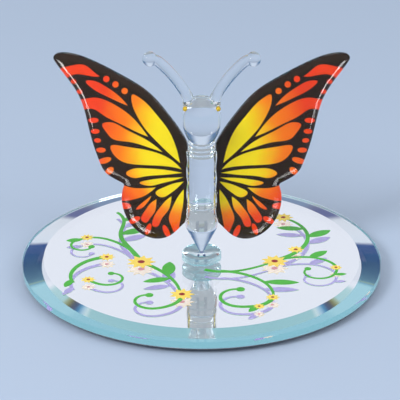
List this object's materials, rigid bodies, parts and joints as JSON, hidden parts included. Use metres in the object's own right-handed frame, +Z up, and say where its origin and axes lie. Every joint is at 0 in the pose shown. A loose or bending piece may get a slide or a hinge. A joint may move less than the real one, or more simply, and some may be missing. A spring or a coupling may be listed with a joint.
{
  "type": "glass butterfly ornament on a round mirror base",
  "caption": "Upright glass butterfly with enamelled wings, a clear bead body and antennae, standing on a small pedestal on a round bevelled mirror base with a flower print.",
  "frame": {"origin": "centre of the footprint, at the underside of the foot pads", "axes": "+Z up out of the mirror; the butterfly faces -Y; +X is to the right as seen from the front"},
  "size_m": [0.1016, 0.1016, 0.0667],
  "materials": {
    "tinted_plate_glass": "polished",
    "clear_glass": "polished",
    "wing_glass": "polished",
    "gold_enamel": "gloss",
    "dark_enamel": "gloss",
    "orange_enamel": "gloss",
    "green_ink": "gloss",
    "yellow_ink": "gloss",
    "brown_ink": "gloss",
    "cured_glue": "clear",
    "silver": "mirror",
    "backing_paint": "matte",
    "foot_pad": "matte"
  },
  "bodies": {
    "root": {"mirror_glass": "tinted_plate_glass", "pedestal": "clear_glass", "abdomen": "clear_glass", "thorax": "clear_glass", "neck_collar": "clear_glass", "head": "clear_glass", "antenna_left": "clear_glass", "antenna_right": "clear_glass", "eye_left": "gold_enamel", "eye_right": "gold_enamel", "wing_left_glass": "wing_glass", "wing_right_glass": "wing_glass", "wing_left_seam": "clear_glass", "wing_right_seam": "clear_glass", "wing_left_dark_enamel": "dark_enamel", "wing_right_dark_enamel": "dark_enamel", "wing_left_colour_enamel": "orange_enamel", "wing_right_colour_enamel": "orange_enamel", "pedestal_glue": "cured_glue", "mirror_silvering": "silver", "mirror_backing_paint": "backing_paint", "ornament_stems": "green_ink", "ornament_leaves": "green_ink", "ornament_daisy_petals": "yellow_ink", "ornament_daisy_centres": "brown_ink", "foot_pad_front_left": "foot_pad", "foot_pad_front_right": "foot_pad", "foot_pad_back_left": "foot_pad", "foot_pad_back_right": "foot_pad"}
  },
  "joints": []
}
